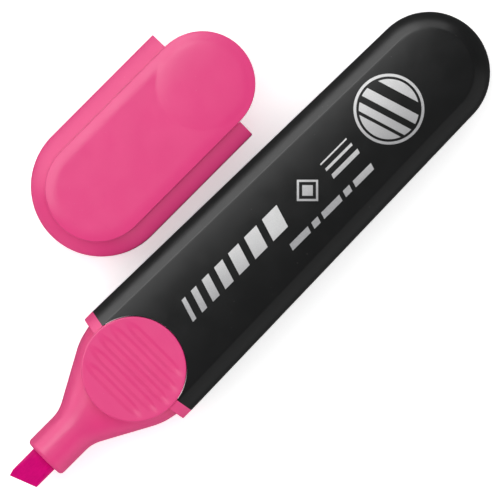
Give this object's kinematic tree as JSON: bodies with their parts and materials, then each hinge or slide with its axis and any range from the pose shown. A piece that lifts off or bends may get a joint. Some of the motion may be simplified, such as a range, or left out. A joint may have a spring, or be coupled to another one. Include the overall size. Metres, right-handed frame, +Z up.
{
  "type": "chisel-nib highlighter",
  "caption": "Flat black highlighter with a pink grip section and chisel nib, its pink clip cap taken off and laid beside it.",
  "frame": {"origin": "middle of the whole object's footprint, on the surface that the pen and the cap lie on", "axes": "+X along the pen from the writing tip to the rear end, +Y from the pen towards the parked cap, +Z up from the surface"},
  "size_m": [0.1156, 0.0524, 0.0185],
  "materials": {
    "black_barrel": "smooth black moulded plastic with a soft satin gloss",
    "pink_plastic": "bright pink moulded plastic with a soft satin gloss",
    "nib_felt": "hard fibre nib soaked with magenta ink",
    "inked_fibre": "fibre reservoir soaked with pink ink",
    "clear_film": "thin clear film round the reservoir",
    "white_seal": "soft milky plastic"
  },
  "bodies": {
    "pen": {"barrel": "black_barrel", "front_section": "pink_plastic", "nib": "nib_felt", "reservoir_core": "inked_fibre", "reservoir_wrap": "clear_film"},
    "cap": {"cap_shell": "pink_plastic", "cap_inner_sleeve": "white_seal"},
    "clip_plate": {"clip": "pink_plastic"}
  },
  "joints": [
    {"name": "cap_slide", "type": "slide", "parent": "pen", "child": "cap", "axis": [-1, 0, 0], "range_m": [0, 0.076]},
    {"name": "clip_flex", "type": "hinge", "parent": "cap", "child": "clip_plate", "pos_m": [-0.01945, 0.01361, 0.01646], "axis": [0, -1, 0], "range_deg": [0, 3], "stiffness_Nm_per_rad": 1}
  ]
}
